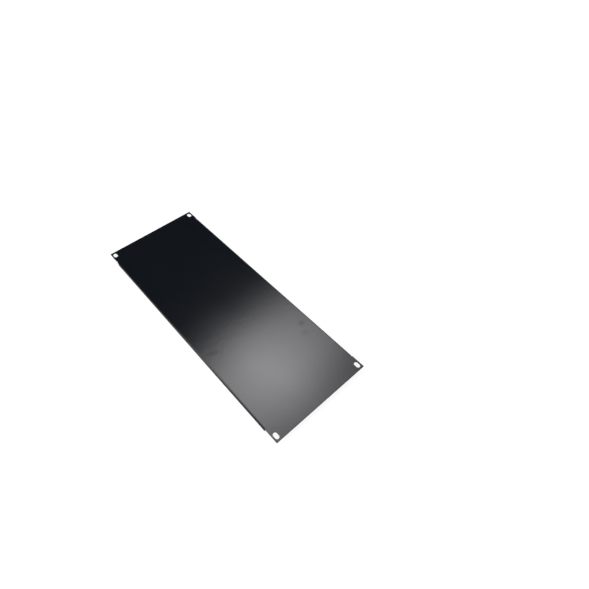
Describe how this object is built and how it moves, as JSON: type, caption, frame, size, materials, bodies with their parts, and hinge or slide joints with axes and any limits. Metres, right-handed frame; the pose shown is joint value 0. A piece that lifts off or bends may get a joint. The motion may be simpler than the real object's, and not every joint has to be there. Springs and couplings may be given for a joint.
{
  "type": "rack blanking panel",
  "caption": "Flat steel blanking panel for a 19-inch rack, with slotted ears and both long edges folded back as stiffening flanges.",
  "frame": {"origin": "middle of the footprint, level with the free edges of the two flanges that the panel lies on", "axes": "+X along the 19-inch width, +Y along the height the panel takes up in a rack, +Z out of the front of the face"},
  "size_m": [0.4826, 0.177, 0.01],
  "materials": {
    "powder_coat": "satin black powder coat, smooth"
  },
  "bodies": {
    "root": {"blanking_panel": "powder_coat"}
  },
  "joints": []
}
